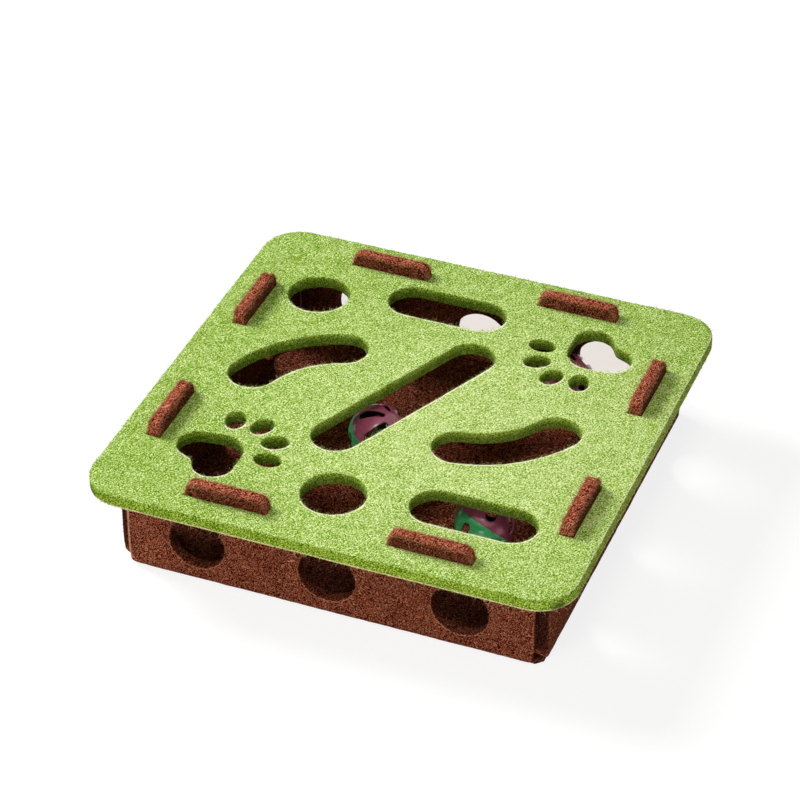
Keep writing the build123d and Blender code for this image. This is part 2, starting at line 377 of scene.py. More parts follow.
def base_loops():
    """Flat pattern of the base: a floor with four flaps, each with its tabs and holes."""
    wall = turned(flat_loops("front_wall", 1, -WALL_INNER - FELT))
    rim = wall[0]
    first = int(np.argmin(rim[:, 0] + rim[:, 1]))
    rim = np.roll(rim, -first, 0)[::-1][:-1]
    rim = rim[rim[:, 1] > FELT]
    outline = []
    holes = []
    inset = WALL_INNER - CORNER_GAP
    left = np.array([[-inset, -inset], [-WALL_HALF, -WALL_INNER - BEND - TAPER]])
    right = left[1:] * [-1, 1]
    for quarter in range(4):
        outline.append(quarter_turn(np.concatenate([left, wall_to_flat(rim), right]), quarter))
        holes += [quarter_turn(wall_to_flat(p), quarter) for p in wall[1:]]
    return [np.concatenate(outline)] + holes


def bend_points(spacing):
    """Rows of points across each crease, so the fold is round."""
    across = np.arange(-WALL_HALF, WALL_HALF, spacing)
    rows = WALL_INNER + np.linspace(0, BEND, BEND_ROWS)
    grid = np.array([(x, -y) for y in rows for x in across])
    return np.concatenate([quarter_turn(grid, quarter) for quarter in range(4)])


def in_bend(points):
    past = np.max(np.abs(points), 1) - WALL_INNER
    return (past > -BEND_MARGIN) & (past < BEND + BEND_MARGIN)


def folded_height(loop):
    """Height above the ground of points of the flat base sheet once its flaps are folded up."""
    return np.max(np.abs(loop), 1) - WALL_INNER - BEND + FELT


def smooth(x, low, high):
    t = np.clip((x - low) / (high - low), 0, 1)
    return t * t * (3 - 2 * t)


# Radii of the felt's edges
LID_EDGE = 1.1
OPENING_EDGE = 0.7
BASE_EDGE = 1.7
TAB_EDGE_MORE = 0.6
TAB_WORN = 4.0
PAW_HOLE_EDGE = 0.9


def lid_radii(loop, number):
    return np.full(len(loop), LID_EDGE if number == 0 else OPENING_EDGE)


def base_radii(loop, number):
    """The tabs are rounder than the other edges, rubbed down by use."""
    if number > 0:
        return np.full(len(loop), PAW_HOLE_EDGE)
    return BASE_EDGE + TAB_EDGE_MORE * smooth(folded_height(loop), LID_TOP, LID_TOP + TAB_WORN)


# Fluff and painted highlights: how pale an edge is, on its upper and its lower side; below 0 it takes
# the under colour. On top of the fluff, painted highlights make paler the openings' near edges, which
# face back and left, the paw holes' edges where they face up, the walls' left ends more than their
# right, and the lid's lower edge.
FAR_SIDE = np.array([-0.363, 0.932])
FAR_FACING = (0.0, 0.6)
RIGHT_FACING = (0.6, 0.95)
RIGHT_EDGE_PALE = 0.7
UNDER_FLUFF_AND_HIGHLIGHT = -0.9
OPENING_FOOT_FLUFF = 0.2
TAB_SLOT_WIDTH = 14.0
HOLE_INNER_FLUFF = 0.3
HOLE_FLUFF = 0.54
HOLE_TOP_HIGHLIGHT = 0.17
HOLE_TOP_FACING = (-0.4, 0.6)
END_MARGIN = 0.3
LEFT_END_FLUFF_AND_HIGHLIGHT = 1.0
RIGHT_END_FLUFF_AND_HIGHLIGHT = 0.62
TAB_FLUFF = 0.45
BASE_BROW = 0.75
LID_SOLE = 1.0


def is_tab_slot(loop):
    return np.ptp(loop, 0).min() < TAB_SLOT_WIDTH


def lid_fluff_and_highlight(loop, outward, number):
    """Edges of the lid: the openings' near sides, where a painted highlight lies, and the outline's
    right and under sides, the under side's pale line partly a painted highlight.
    """
    if number == 0:
        right = RIGHT_EDGE_PALE * smooth(outward[:, 0], *RIGHT_FACING)
        return np.column_stack([right, np.full(len(loop), UNDER_FLUFF_AND_HIGHLIGHT)])
    if is_tab_slot(loop):
        return np.zeros((len(loop), 2))
    # Painted highlight on the openings' near edges, which face back and left
    near = smooth(outward @ FAR_SIDE, *FAR_FACING)
    return np.column_stack([near, np.full(len(loop), OPENING_FOOT_FLUFF)])


def base_fluff_and_highlight(loop, outward, number):
    """Edges of the base: paw holes, paler where they face up as a painted highlight, tabs, and the
    upright ends of the front and back walls, paler at the left as a painted highlight.
    """
    front = np.abs(loop[:, 1]) > np.abs(loop[:, 0])
    if number > 0:
        facing = outward * np.sign(loop)
        raised = np.where(front, facing[:, 1], facing[:, 0])
        share = HOLE_FLUFF + HOLE_TOP_HIGHLIGHT * smooth(raised, *HOLE_TOP_FACING)
        return np.column_stack([np.full(len(loop), HOLE_INNER_FLUFF), share])
    end = np.min(np.abs(loop), 1) > WALL_INNER + END_MARGIN
    lit = np.where(loop[:, 0] < 0, LEFT_END_FLUFF_AND_HIGHLIGHT, RIGHT_END_FLUFF_AND_HIGHLIGHT)
    share = np.where(end, np.where(front, lit, 0.0), TAB_FLUFF)
    return np.column_stack([share, share])


# Shade painted where little light comes: its depth, and the ranges over which it sets in
OPENING_SHADE = 1.25
OPENING_REACH = 160.0
OPENING_SIDE = (0.5, 1.0)
OPENING_DEPTH = (0.3, 5.0)
UNDER_LID = (-1.0, 3.0)
INNER_FACE = (0.75, 1.0)
CORNER_SHADE = 1.9
CORNER_IN = (0.0, 1.2)
CORNER_DEPTH = (0.8, 2.6)
CUT_SIDE = 0.9
CUT_BROW = 0.3
HOLE_SHADE = 1.85
HOLE_DEPTH = (0.2, 1.0)
HOLE_END = -6.0
HOLE_TOP = 52.0
SILL_LESS = 0.4
SILL_DROP = (4.0, 16.0)
FLOOR_MARGIN = 1.0
CORNER_FLOOR_SHADE = 1.5
CORNER_FLOOR = (110.0, 200.0)
FRONT_FLOOR_SHADE = 1.75
FRONT_FLOOR = (90.0, 122.0)
WALL_FLOOR_SHADE = 1.2
WALL_FLOOR = (85.0, WALL_INNER)
EAVES_SHADE = 0.7
EAVES = (50.0, 59.0)
EAVES_DEPTH = 0.5
FRONT_TAB_SHADE = 0.75
SIDE_TAB_SHADE = 0.9
TAB_FOOT = LID_TOP - 1.0
TAB_SIDE = (0.0, 0.5)


def lid_shaded(uvh, placed, cut):
    """The sides of the openings, deeper towards their foot."""
    inner = np.max(np.abs(placed[:, :2]), 1) < OPENING_REACH
    side = OPENING_SHADE * inner * smooth(cut, *OPENING_SIDE)
    return side * smooth(FELT - uvh[:, 2], *OPENING_DEPTH)


def base_shaded(uvh, placed, cut):
    """The inside of the box, the sides of the paw holes, the flaps' ends, the eaves and the tabs."""
    x, y, z = placed.T
    depth = uvh[:, 2]
    front = np.abs(uvh[:, 1]) > np.abs(uvh[:, 0])
    along = np.minimum(np.abs(x), np.abs(y)) - WALL_INNER
    out = np.maximum(np.abs(x), np.abs(y))

    front_end = (cut > CUT_SIDE) * smooth(depth, *CORNER_DEPTH)
    corner = CORNER_SHADE * (smooth(along, *CORNER_IN) * np.where(front, front_end, cut > CUT_BROW))
    in_hole = (cut > CUT_SIDE) * (along < HOLE_END) * (z < HOLE_TOP) * smooth(depth, *HOLE_DEPTH)
    hole = in_hole * (HOLE_SHADE - SILL_LESS * smooth(HOLE_HEIGHT - z, *SILL_DROP))

    floor = (out < WALL_INNER - FLOOR_MARGIN) * (z < FELT + FLOOR_MARGIN)
    near = np.maximum(CORNER_FLOOR_SHADE * smooth(-x - y, *CORNER_FLOOR),
                      FRONT_FLOOR_SHADE * smooth(-y, *FRONT_FLOOR))
    floor_shade = np.maximum(near, WALL_FLOOR_SHADE * smooth(out, *WALL_FLOOR))
    within = smooth(depth / FELT, *INNER_FACE) * np.where(floor, floor_shade, 1.0)

    eaves = EAVES_SHADE * (depth < EAVES_DEPTH) * smooth(z, *EAVES)
    tab = np.where(front, FRONT_TAB_SHADE, SIDE_TAB_SHADE) * (z > TAB_FOOT) * (1 - smooth(cut, *TAB_SIDE))
    below = smooth(LID_UNDER - z, *UNDER_LID)
    return np.maximum(tab, below * np.max([within, eaves, corner, hole], 0))


lid_outline = flat_loops("lid_panel", 2, LID_TOP)
lid = sheet("lid_felt", lid_outline, FELT, lid_radii, LID_FINENESS, lid_place,
            fluff_and_highlight=lid_fluff_and_highlight, shaded=lid_shaded, sole=LID_SOLE)
waver(lid, LID_WAVER, LID_SEED)
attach(lid, "lid")
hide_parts("lid_panel")

base_outline = base_loops()
base = sheet("base_felt", base_outline, FELT, base_radii, BASE_FINENESS, base_place,
             extra=bend_points(BASE_FINENESS[1]), skip=in_bend,
             fluff_and_highlight=base_fluff_and_highlight, shaded=base_shaded, brow=BASE_BROW)
waver(base, BASE_WAVER, BASE_SEED)
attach(base, "base")
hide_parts("floor_panel", "front_wall", "right_wall", "back_wall", "left_wall")

# Fuzz: stray fibres along the felt's edges
FIBRE_LENGTH = (1.0, 3.2)
FIBRE_RADIUS = 0.12
FIBRE_TAPER = 0.4
FIBRE_ROOT = 0.3
FIBRE_BEND = (0.1, 1.5)
FIBRE_LIFT = (0.15, 0.8)
FIBRE_SIDE = (0.3, 0.5, 0.81)
FIBRE_POINTS = 6
FIBRE_FACES = [(0, 1, 4, 3), (1, 2, 5, 4), (2, 0, 3, 5), (2, 1, 0), (3, 4, 5)]
LID_PALE = ((0.2, 0.7), (0.6, 1.0))
BASE_PALE = ((0.6, 1.0), (0.6, 1.0))

# How many fibres there are about each point of an edge, on its upper and its lower side
LID_TUFTS = (1.4, 0.7)
OPENING_TUFTS = (1.5, 0.0)
PAW_HOLE_TUFTS = (0.0, 0.8)
TAB_TUFTS = 8.0
END_TUFTS = 1.0
TAB_TUFTS_FROM = LID_TOP + 1.5
END_TUFTS_FROM = 2 * FELT
END_TUFTS_TO = LID_TOP - 2 * FELT


def fuzz(name, loops, step, radii, place, tufts, pale):
    """Stray fibres that stand off a felt sheet's edges, each a thin closed sliver.

    Tufts gives how many there are about each point of a loop, on its upper and its lower side, and
    pale the range of how pale they are on each."""
    roots = []
    tips = []
    rim = []
    for number, loop in enumerate(resample(p, step) for p in turned(loops)):
        radius = radii(loop, number)[:, None]
        into = unit(inward(loop))
        along = unit(np.roll(loop, -1, 0) - np.roll(loop, 1, 0))
        for side, wanted, shades in zip((1, -1), tufts(loop, number).T, pale):
            at = np.repeat(np.arange(len(loop)), rng.poisson(wanted))
            column = (len(at), 1)
            bend = rng.uniform(*FIBRE_BEND, column)
            out = np.column_stack([-into[at] * np.sin(bend), side * np.cos(bend)])
            run = np.column_stack([along[at], np.zeros(len(at))])
            bow = radius[at]
            middle = np.column_stack([loop[at] + bow * into[at], FELT / 2 + side * (FELT / 2 - bow)])
            edge = middle + bow * out + rng.uniform(-0.5, 0.5, column) * step * run
            way = unit(out * rng.uniform(*FIBRE_LIFT, column) + run * rng.normal(0, 1, column))
            roots.append(edge - FIBRE_ROOT * out)
            tips.append(edge + way * rng.uniform(*FIBRE_LENGTH, column))
            rim.append(rng.uniform(*shades, len(at)))
    roots = place(np.concatenate(roots))
    tips = place(np.concatenate(tips))
    axis = unit(tips - roots)
    first = unit(np.cross(axis, FIBRE_SIDE))
    second = np.cross(axis, first)
    spokes = [FIBRE_RADIUS * (math.cos(a) * first + math.sin(a) * second)
              for a in np.arange(3) * 2 * math.pi / 3]
    points = np.stack([roots + s for s in spokes] + [tips + FIBRE_TAPER * s for s in spokes], 1)
    faces = [tuple(FIBRE_POINTS * k + i for i in face) for k in range(len(roots)) for face in FIBRE_FACES]
    rim = np.repeat(np.concatenate(rim), FIBRE_POINTS)
    return add_piece(name, points.reshape(-1, 3), faces, {"rim": rim})


def lid_tufts(loop, number):
    """Fibres on the lid: all round its outline and on the openings, none where the tabs come through."""
    if number == 0:
        return np.tile(LID_TUFTS, (len(loop), 1))
    if is_tab_slot(loop):
        return np.zeros((len(loop), 2))
    return np.tile(OPENING_TUFTS, (len(loop), 1))


def base_tufts(loop, number):
    """Fibres on the base: on the tabs above the lid, the walls' ends and the paw holes."""
    if number > 0:
        return np.tile(PAW_HOLE_TUFTS, (len(loop), 1))
    height = folded_height(loop)
    tab = height > TAB_TUFTS_FROM
    end = np.min(np.abs(loop), 1) > WALL_INNER + END_MARGIN
    end = end & (height > END_TUFTS_FROM) & (height < END_TUFTS_TO)
    wanted = np.where(tab, TAB_TUFTS, np.where(end, END_TUFTS, 0.0))
    return np.column_stack([wanted, wanted])


lid_fuzz = fuzz("lid_fuzz", lid_outline, LID_FINENESS[0], lid_radii, lid_place, lid_tufts, LID_PALE)
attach(lid_fuzz, "lid")
base_fuzz = fuzz("base_fuzz", base_outline, BASE_FINENESS[0], base_radii, base_place, base_tufts,
                 BASE_PALE)
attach(base_fuzz, "base")

# Ears: low pieces of felt put under the open corners and painted dark all over, as painted shade
# in the corners' notches.
EAR_REACH = 7.2
EAR_SHORT = 0.45
EAR_ROOT = 3.0
EAR_CUT = 2.4
EAR_TIP = 1.2
EAR_HEIGHT = 3.2
EAR_EDGE = 1.2
EAR_SHADE = 1.6


def ear_radii(loop, number):
    return np.full(len(loop), EAR_EDGE)


def ear_place(uvh):
    return uvh


def ear_shaded(uvh, placed, cut):
    return np.full(len(uvh), EAR_SHADE)


shade_ears = []
for quarter, corner in enumerate(("front_left", "front_right", "back_right", "back_left")):
    reach = EAR_SHORT * EAR_REACH if corner == "front_left" else EAR_REACH
    near = WALL_INNER - EAR_ROOT
    mid = WALL_INNER + min(EAR_CUT, reach - EAR_TIP)
    far = WALL_INNER + reach
    scrap = -np.array([[far, mid], [mid, far], [near, far], [near, near], [far, near]])
    ear = sheet(f"{corner}_ear", [quarter_turn(scrap, quarter)], EAR_HEIGHT, ear_radii, EAR_FINENESS,
                ear_place, shaded=ear_shaded)
    waver(ear, EAR_WAVER, EAR_SEED + quarter)
    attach(ear, "base")
    shade_ears.append(ear)

# Balls: each half is a sheet laid on a sphere round its pole.
RIM_POINTS = 96
WIDE_POINTS = 25
NARROW_POINTS = 17
SHELL_EDGE = 0.32


def ball_place(uvh):
    u, v, h = uvh.T
    polar = np.hypot(u, v) / BALL_RADIUS
    turn = np.arctan2(v, u)
    reach = BALL_RADIUS - BALL_WALL + h
    way = np.column_stack([np.sin(polar) * np.cos(turn), np.sin(polar) * np.sin(turn), np.cos(polar)])
    return way * reach[:, None]


def ball_loops():
    """Rim and slots of a ball half, unrolled round the pole."""
    turn = np.linspace(0, 2 * math.pi, RIM_POINTS + 1)[:-1]
    rim = BALL_RADIUS * math.pi / 2 * np.column_stack([np.cos(turn), np.sin(turn)])
    mid = math.radians((SLOT_POLE_ANGLE + SLOT_RIM_ANGLE) / 2)
    half = BALL_RADIUS * math.sin(math.radians((SLOT_RIM_ANGLE - SLOT_POLE_ANGLE) / 2))
    wide, narrow = half - SLOT_WIDE, SLOT_NARROW - half
    tangent = math.acos((SLOT_NARROW - SLOT_WIDE) / (wide - narrow))
    a = np.linspace(-tangent, tangent, WIDE_POINTS)
    b = np.linspace(tangent, 2 * math.pi - tangent, NARROW_POINTS)
    p = np.concatenate([wide + SLOT_WIDE * np.cos(a), narrow + SLOT_NARROW * np.cos(b)])
    q = np.concatenate([SLOT_WIDE * np.sin(a), SLOT_NARROW * np.sin(b)])
    w = np.sqrt(BALL_RADIUS**2 - p**2 - q**2)
    x = p * math.cos(mid) + w * math.sin(mid)
    z = w * math.cos(mid) - p * math.sin(mid)
    polar = np.arccos(z / BALL_RADIUS)
    loops = [rim]
    for k in range(BALL_SLOTS):
        side = np.arctan2(q, x) + 2 * math.pi * k / BALL_SLOTS
        loops.append(BALL_RADIUS * np.column_stack([polar * np.cos(side), polar * np.sin(side)]))
    return loops


def ball_radii(loop, number):
    return np.full(len(loop), SHELL_EDGE)


def ball_shaded(uvh, placed, cut):
    """Painted shade on the inside of the shell."""
    return 1 - uvh[:, 2] / BALL_WALL


def ball_frame(pole, spin):
    z = Vector(pole).normalized()
    x = Vector((0, 1, 0)).cross(z).normalized()
    y = z.cross(x)
    return Matrix((x, y, z)).transposed().to_4x4() @ Matrix.Rotation(math.radians(spin), 4, "Z")


halves = {"mauve": [], "green": []}
over = Matrix.Rotation(math.pi / BALL_SLOTS, 4, "Z") @ Matrix.Rotation(math.pi, 4, "X")
for name, pole, spin in zip(BALL_NAMES, BALL_POLES, BALL_SPINS):
    boxes = [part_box(f"{name}_{colour}_half") for colour in halves]
    low = Vector(map(min, boxes[0][0], boxes[1][0]))
    high = Vector(map(max, boxes[0][1], boxes[1][1]))
    turn = ball_frame(pole, spin)
    for colour, own in (("mauve", Matrix.Identity(4)), ("green", over)):
        half = sheet(f"{name}_{colour}_shell", ball_loops(), BALL_WALL, ball_radii, SHELL_FINENESS,
                     ball_place, shaded=ball_shaded)
        half.data.transform(Matrix.Translation((low + high) / 2) @ turn @ own)
        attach(half, f"{name}_shell")
        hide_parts(f"{name}_{colour}_half")
        halves[colour].append(half)


# Materials
def srgb(r, g, b):
    shares = [c / 255 for c in (r, g, b)]
    lin = [c / 12.92 if c <= 0.04045 else ((c + 0.055) / 1.055) ** 2.4 for c in shares]
    return (*lin, 1.0)


class Nodes:
    """A material's node tree with short calls for the nodes used here."""

    def __init__(self, name):
        self.material = bpy.data.materials.new(name)
        self.material.use_nodes = True
        self.tree = self.material.node_tree
        self.shader = self.tree.nodes["Principled BSDF"]
        self.place = self.add("ShaderNodeTexCoord").outputs["Object"]

    def add(self, kind, **values):
        node = self.tree.nodes.new(kind)
        for key, value in values.items():
            setattr(node, key, value)
        return node

    def link(self, source, target):
        if isinstance(source, bpy.types.NodeSocket):
            self.tree.links.new(source, target)
        else:
            target.default_value = source

    def noise(self, vector, turn, size, detail, rough=0.5, output="Fac"):
        """Noise with grains of a size in millimetres, turned by degrees."""
        mapped = self.add("ShaderNodeMapping", vector_type="TEXTURE")
        self.link(vector, mapped.inputs["Vector"])
        mapped.inputs["Rotation"].default_value = [math.radians(a) for a in turn]
        mapped.inputs["Scale"].default_value = [s * MM for s in size]
        node = self.add("ShaderNodeTexNoise")
        self.link(mapped.outputs["Vector"], node.inputs["Vector"])
        node.inputs["Scale"].default_value = 1.0
        node.inputs["Detail"].default_value = detail
        node.inputs["Roughness"].default_value = rough
        return node.outputs[output]

    def math(self, kind, *values):
        node = self.add("ShaderNodeMath", operation=kind)
        for value, socket in zip(values, node.inputs):
            self.link(value, socket)
        return node.outputs[0]

    def tones(self, value, colours):
        """Colours spread evenly over values from 0 to 1."""
        node = self.add("ShaderNodeValToRGB")
        self.link(value, node.inputs["Fac"])
        stops = node.color_ramp.elements
        while len(stops) < len(colours):
            stops.new(1.0)
        for k, colour in enumerate(colours):
            stops[k].position = k / (len(colours) - 1)
            stops[k].color = colour
        return node.outputs["Color"]

    def blend(self, share, a, b):
        return self.math("MULTIPLY_ADD", share, self.math("SUBTRACT", b, a), a)

    def ramp(self, value, low, high, to_low=0.0, to_high=1.0):
        node = self.add("ShaderNodeMapRange", interpolation_type="SMOOTHSTEP")
        self.link(value, node.inputs["Value"])
        ends = {"From Min": low, "From Max": high, "To Min": to_low, "To Max": to_high}
        for key, number in ends.items():
            node.inputs[key].default_value = number
        return node.outputs["Result"]

    def mix(self, share, a, b):
        node = self.add("ShaderNodeMix", data_type="RGBA")
        self.link(share, node.inputs["Factor"])
        self.link(a, node.inputs["A"])
        self.link(b, node.inputs["B"])
        return node.outputs["Result"]

    def shift(self, vector, by, size):
        """Vector moved by a colour noise about its middle."""
        centred = self.add("ShaderNodeVectorMath", operation="SUBTRACT")
        self.link(by, centred.inputs[0])
        centred.inputs[1].default_value = (0.5, 0.5, 0.5)
        moved = self.add("ShaderNodeVectorMath", operation="MULTIPLY_ADD")
        self.link(centred.outputs[0], moved.inputs[0])
        moved.inputs[1].default_value = (size * MM,) * 3
        self.link(vector, moved.inputs[2])
        return moved.outputs[0]

    def distance(self, vector, point):
        node = self.add("ShaderNodeVectorMath", operation="DISTANCE")
        self.link(vector, node.inputs[0])
        node.inputs[1].default_value = [c * MM for c in point]
        return node.outputs["Value"]

    def attribute(self, name):
        return self.add("ShaderNodeAttribute", attribute_name=name).outputs["Fac"]

    def bump(self, height, strength, distance):
        node = self.add("ShaderNodeBump")
        self.link(height, node.inputs["Height"])
        node.inputs["Strength"].default_value = strength
        node.inputs["Distance"].default_value = distance * MM
        self.link(node.outputs["Normal"], self.shader.inputs["Normal"])

    def set(self, **values):
        for key, value in values.items():
            self.link(value, self.shader.inputs[key.replace("_", " ")])


# Felt: sizes of its textures in millimetres, turns in degrees, and where one tone passes into another
UNTURNED = (0, 0, 0)
CURL_SIZE = (6, 6, 6)
CURL_REACH = 4.0
STRAND_SIZE = (4.0, 0.48, 0.48)
STRAND_TURNS = [(18, 9, 24), (-14, 21, 118), (8, -17, 71)]
PATCH_SIZE = (8, 8, 8)
PATCH_TURNS = [(10, 0, 30), (0, 20, 75)]
PATCH_PASSES = [(0.42, 0.58), (0.45, 0.60)]
GRAIN_SIZE = (0.85, 0.85, 0.85)
GRAIN_TURN = (31, 12, 47)
CLOUD_SIZE = (10, 10, 10)
CLOUD_TURN = (0, 0, 20)
# Centre and reach of a painted pool of light: the felt is paler near the centre, darker beyond
LIGHT_POOL_CENTRE = (60.0, -20.0, LID_TOP)
LIGHT_POOL_REACH = (30.0 * MM, 230.0 * MM)
CUT_PASS = (0.2, 0.8)
GLINT_PASS = (0.58, 0.70)
RIM_PASS = (0.5, 0.85)
PALE_PASS = (0.0, 0.6)
PALE_LEAST = 0.4


def felt(name, tones, cut_tones, edge, under, dark, edge_share, strands, grains, mottle, deep,
         light_pool, glint):
    """Needled felt: strands that lie one way here and another there, mottled, with a cut side.

    Its fluffy edges are paler, by edge_share, in the edge or the under colour, partly as a painted
    highlight. Strands, grains and mottle are the contrasts of its textures, and glint is how pale the
    topmost strands are. A painted pool of light makes the pile paler near a point on the lid's top and
    darker away from it, and deep is how far the painted shade takes shaded felt to dark."""
    n = Nodes(name)
    curl = n.noise(n.place, UNTURNED, CURL_SIZE, detail=1.0, output="Color")
    strand = n.shift(n.place, curl, CURL_REACH)
    layers = [n.noise(strand, turn, STRAND_SIZE, detail=1.0, rough=0.6) for turn in STRAND_TURNS]
    patches = [n.noise(n.place, turn, PATCH_SIZE, detail=0.0) for turn in PATCH_TURNS]
    fibre = layers[0]
    for patch, ends, layer in zip(patches, PATCH_PASSES, layers[1:]):
        fibre = n.blend(n.ramp(patch, *ends), fibre, layer)
    grain = n.noise(n.place, GRAIN_TURN, GRAIN_SIZE, detail=0.0)
    cloud = n.noise(n.place, CLOUD_TURN, CLOUD_SIZE, detail=2.0, rough=0.55)
    tone = 0.5
    for layer, size in ((fibre, strands), (grain, grains), (cloud, mottle)):
        tone = n.math("ADD", n.math("MULTIPLY_ADD", layer, size, -0.5 * size), tone)
    # Painted pool of light: the pile is paler near a point on the lid's top and darker away from it
    wear_and_light_pool = n.ramp(n.distance(n.place, LIGHT_POOL_CENTRE), *LIGHT_POOL_REACH, light_pool, -light_pool)
    tone = n.math("ADD", tone, wear_and_light_pool)
    on_cut = n.ramp(n.attribute("cut"), *CUT_PASS)
    colour = n.mix(on_cut, n.tones(tone, tones), n.tones(tone, cut_tones))
    colour = n.mix(n.ramp(fibre, *GLINT_PASS, 0.0, glint), colour, edge)
    share = n.ramp(tone, *PALE_PASS, PALE_LEAST * edge_share, edge_share)
    rim = n.attribute("rim")
    for sign, pale in ((1.0, edge), (-1.0, under)):
        on_rim = n.ramp(n.math("MULTIPLY", rim, sign), *RIM_PASS)
        colour = n.mix(n.math("MULTIPLY", on_rim, share), colour, pale)
    colour = n.mix(n.math("MULTIPLY", n.attribute("shaded"), deep), colour, dark)
    n.set(Base_Color=colour, Roughness=0.95, Specular_IOR_Level=0.03)
    n.set(Sheen_Weight=0.03, Sheen_Roughness=0.45, Sheen_Tint=tones[-1])
    n.bump(tone, strength=0.45, distance=0.35)
    return n.material


# Plastic and metal: sizes and turns of their textures, where one tone passes into another, and how
# far their roughness goes below and above what is asked for
FLOW_SIZE = (9, 3, 5)
FLOW_TURN = (20, 35, 10)
FLOW_PASS = (0.35, 0.7)
SPECK_SIZE = (0.5, 0.5, 0.5)
INNER_PASS = (0.55, 0.95)
GLOSS_PASS = (0.3, 0.75)
GLOSS_BELOW, GLOSS_ABOVE = 0.04, 0.08
SCUFF_SIZE = (3.0, 0.35, 0.35)
SCUFF_TURN = (15, 40, 5)
SCUFF_PASS = (0.35, 0.75)
SCUFF_ABOVE = 0.2
STAIN_SIZE = (4, 4, 4)
STAIN_PASS = (0.4, 0.7)


def plastic(name, colour, deep, inner, gloss):
    """Moulded plastic with faint flow marks, a soft gloss and painted shade on the inside."""
    n = Nodes(name)
    flow = n.noise(n.place, FLOW_TURN, FLOW_SIZE, detail=3.0, rough=0.55)
    speck = n.noise(n.place, UNTURNED, SPECK_SIZE, detail=1.0)
    outer = n.mix(n.ramp(flow, *FLOW_PASS), colour, deep)
    # The inside of the shell is painted dark as shade, by the shaded layer
    n.set(Base_Color=n.mix(n.ramp(n.attribute("shaded"), *INNER_PASS), outer, inner))
    n.set(Roughness=n.ramp(flow, *GLOSS_PASS, gloss - GLOSS_BELOW, gloss + GLOSS_ABOVE))
    n.set(Specular_IOR_Level=0.5, Coat_Weight=0.35, Coat_Roughness=0.09)
    n.bump(speck, strength=0.05, distance=0.05)
    return n.material


def metal(name, colour, wear_and_light_pool, rough):
    """Plated metal with light scuffs."""
    n = Nodes(name)
    scuff = n.noise(n.place, SCUFF_TURN, SCUFF_SIZE, detail=3.0, rough=0.6)
    stain = n.noise(n.place, UNTURNED, STAIN_SIZE, detail=2.0)
    n.set(Base_Color=n.mix(n.ramp(stain, *STAIN_PASS), colour, wear_and_light_pool), Metallic=1.0)
    n.set(Roughness=n.ramp(scuff, *SCUFF_PASS, rough, rough + SCUFF_ABOVE))
    n.bump(scuff, strength=0.08, distance=0.05)
    return n.material


# The green's cut side is darker and deeper than its faces, partly as denser cut felt and partly as painted
# shade on the openings' sides
green_felt = felt(
    "green_felt",
    tones=(srgb(98, 140, 12), srgb(173, 208, 88), srgb(242, 255, 196)),
    cut_tones=(srgb(74, 110, 4), srgb(146, 180, 44), srgb(214, 238, 120)),
    edge=srgb(254, 254, 220), under=srgb(255, 240, 186), dark=srgb(28, 54, 0), edge_share=1.0,
    strands=1.65, grains=2.38, mottle=0.52, deep=0.45, light_pool=0.11, glint=0.0)
brown_felt = felt(
    "brown_felt",
    tones=(srgb(40, 2, 0), srgb(96, 31, 15), srgb(188, 101, 73)),
    cut_tones=(srgb(68, 14, 4), srgb(134, 50, 30), srgb(228, 128, 99)),
    edge=srgb(244, 178, 144), under=srgb(200, 124, 92), dark=srgb(14, 2, 0), edge_share=0.9,
    strands=7.0, grains=3.6, mottle=0.5, deep=0.44, light_pool=0.0, glint=1.0)
mauve_plastic = plastic(
    "mauve_plastic", srgb(212, 108, 150), deep=srgb(196, 94, 134), inner=srgb(48, 18, 28), gloss=0.24)
green_plastic = plastic(
    "green_plastic", srgb(86, 222, 146), deep=srgb(64, 204, 124), inner=srgb(8, 40, 24), gloss=0.22)
bell_metal = metal("bell_metal", srgb(150, 132, 96), wear_and_light_pool=srgb(128, 108, 74), rough=0.2)
pellet_steel = metal("pellet_steel", srgb(190, 190, 188), wear_and_light_pool=srgb(160, 160, 158), rough=0.25)


def dress(piece, material):
    piece.data.materials.clear()
    piece.data.materials.append(material)


for piece in (lid, lid_fuzz):
    dress(piece, green_felt)
for piece in (base, base_fuzz, *shade_ears):
    dress(piece, brown_felt)
for half in halves["mauve"]:
    dress(half, mauve_plastic)
for half in halves["green"]:
    dress(half, green_plastic)
for name in BALL_NAMES:
    dress(nodes[f"{name}_bell_top"], bell_metal)
    dress(nodes[f"{name}_bell_bottom"], bell_metal)
    dress(nodes[f"{name}_bell_pellet"], pellet_steel)

# Floor and world, from here on in metres. Behind the box a painted shadow makes the floor a warm
# grey, where it is seen through the openings.
FLOOR_HALF = 3.0
FLOOR_LEVEL = -0.0004
FLOOR_SHADE = (0.30, 0.30, 0.30, 1)
FLOOR_GLOW = 0.82
FLOOR_WHITE = (0.98, 0.982, 1, 1)
FLOOR_BOUNCE = (0.80, 0.80, 0.80, 1)
BEHIND_SHADOW_GREY = (0.73, 0.66, 0.627, 1)
BEHIND_PLACE = (-0.017, 0.188, 0)
BEHIND_SIZE = (0.15, 0.045, 1)
BEHIND_FADE = (0.7, 1.1)
WORLD_LIGHT = (1, 0.98, 0.72, 1)
WORLD_STRENGTH = 0.17
WORLD_WHITE = (0.9, 0.9, 0.9, 1)

floor_mesh = bpy.data.meshes.new("floor")
floor_corners = [(-1, -1), (1, -1), (1, 1), (-1, 1)]
floor_mesh.from_pydata(
    [(x * FLOOR_HALF, y * FLOOR_HALF, FLOOR_LEVEL) for x, y in floor_corners], [], [(0, 1, 2, 3)])
floor = bpy.data.objects.new("floor", floor_mesh)
scene.collection.objects.link(floor)


